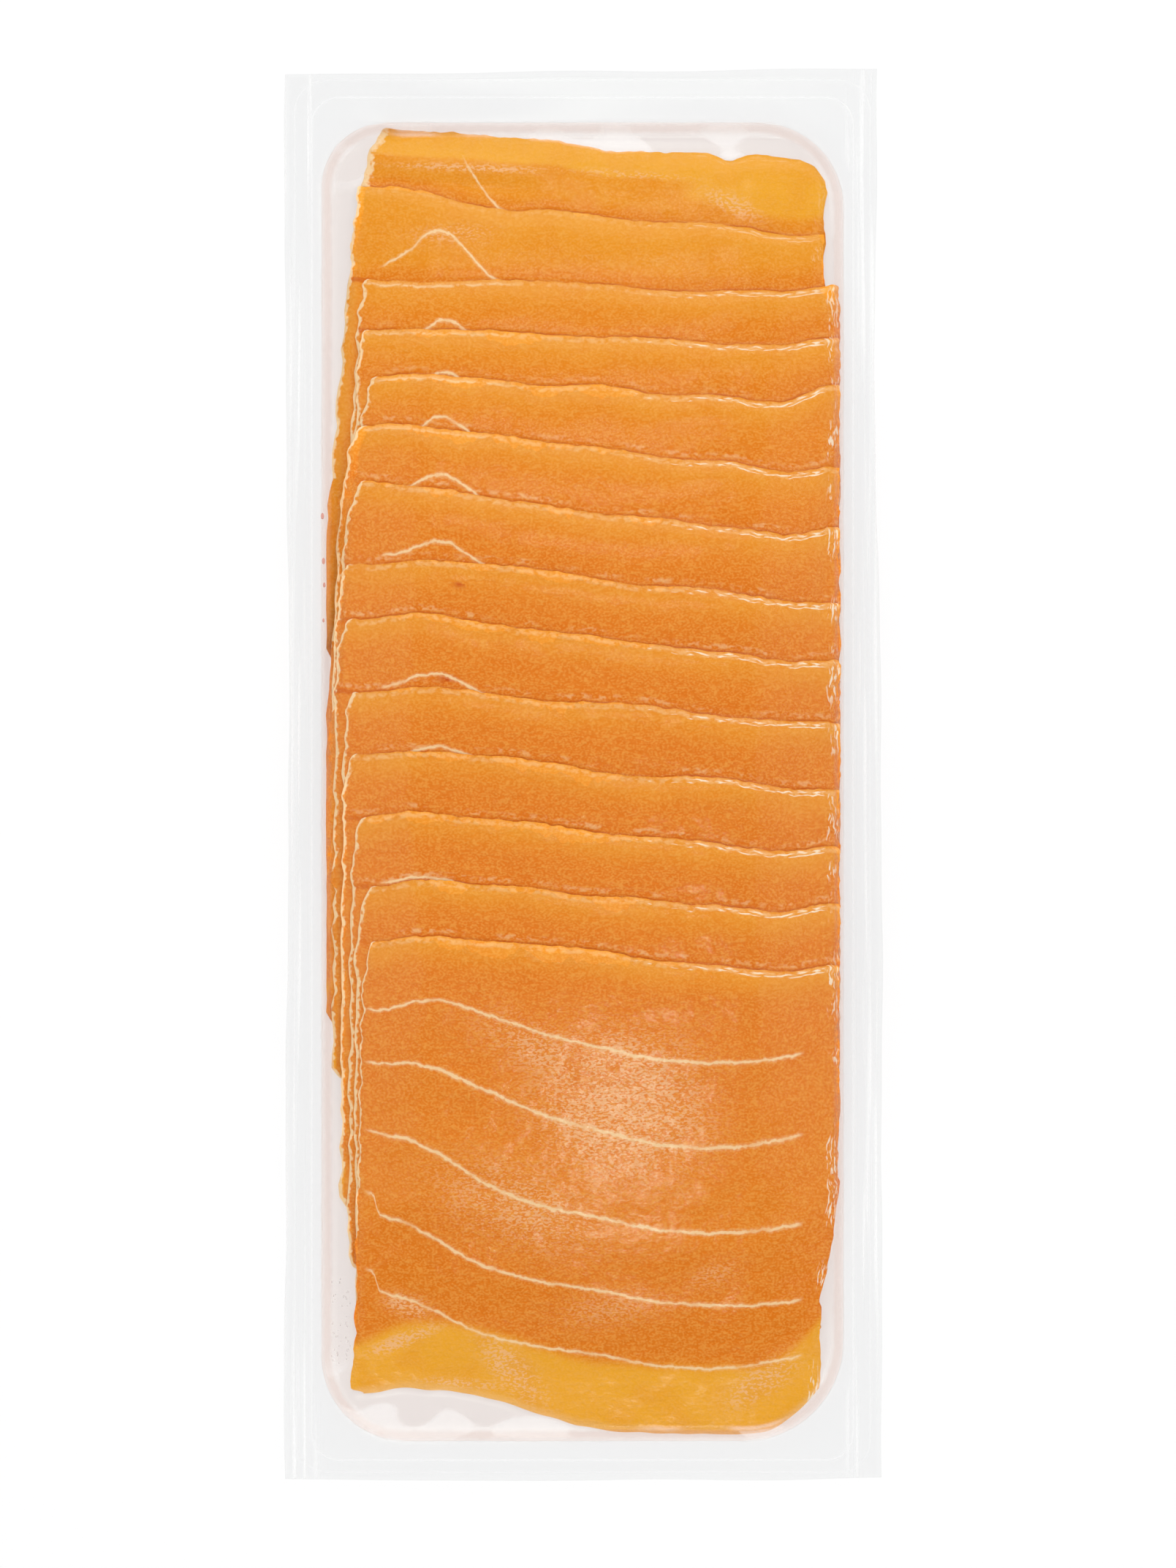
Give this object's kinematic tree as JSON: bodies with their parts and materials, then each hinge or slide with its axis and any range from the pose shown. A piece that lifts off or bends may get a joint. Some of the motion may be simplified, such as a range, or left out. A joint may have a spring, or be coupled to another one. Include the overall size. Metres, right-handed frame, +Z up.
{
  "type": "pack of vegan smoked salmon",
  "caption": "Clear film vacuum pack, welded all round, with thin smoked slices laid in one long overlapping row.",
  "frame": {"origin": "on the surface that the pack lies on, under the middle of the film's length and width", "axes": "+Y along the film to the end where the first slice lies, +X across the slices, +Z up"},
  "size_m": [0.12, 0.282, 0.0129],
  "materials": {
    "filled_film": "glossy clear film drawn tight over orange slices",
    "clear_film": "clear, thin and glossy",
    "smoked_slice": "moist, soft and a little translucent, orange with thin cream lines",
    "juice": "wet drops pressed flat under the film"
  },
  "bodies": {
    "root": {"sealed_pack": "filled_film"}
  },
  "joints": []
}
